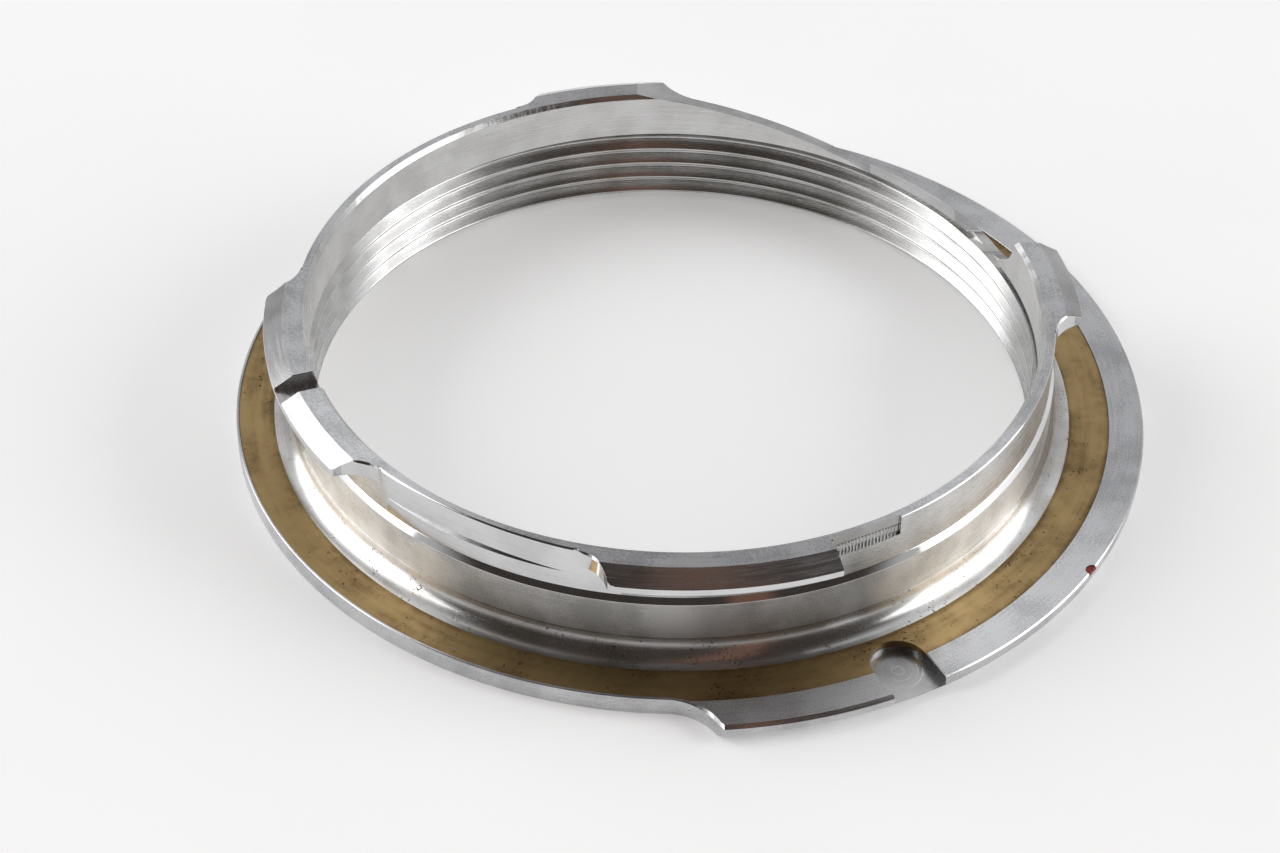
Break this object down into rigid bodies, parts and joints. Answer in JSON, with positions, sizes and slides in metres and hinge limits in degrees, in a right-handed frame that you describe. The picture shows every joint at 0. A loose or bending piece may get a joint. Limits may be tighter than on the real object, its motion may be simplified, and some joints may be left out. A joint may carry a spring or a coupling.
{
  "type": "lens mount adapter ring",
  "caption": "Flat flanged ring that takes a screw-thread lens in its bore and locks into a camera by bayonet lugs on a short barrel.",
  "frame": {"origin": "on the ring's axis, in the plane of the flange's lens side", "axes": "+Z along the ring's axis towards the camera, +X towards the right lug, the lock-pin notch at 61 degrees clockwise from +X"},
  "size_m": [0.0482, 0.0501, 0.0071],
  "materials": {
    "satin_chrome": "fine-turned chrome plate on brass",
    "bright_chrome": "bright chrome plate with a matt top face",
    "bare_brass": "bare brass, tarnished and worn",
    "red_enamel": "gloss enamel fill"
  },
  "bodies": {
    "root": {"flange": "satin_chrome", "bearing_band": "bare_brass", "index_mark": "red_enamel", "threaded_barrel": "satin_chrome", "bayonet_neck": "bright_chrome", "bayonet_lug_left": "bright_chrome", "bayonet_lug_front": "bright_chrome", "bayonet_lug_right": "bright_chrome", "bayonet_lug_back": "bright_chrome"}
  },
  "joints": []
}
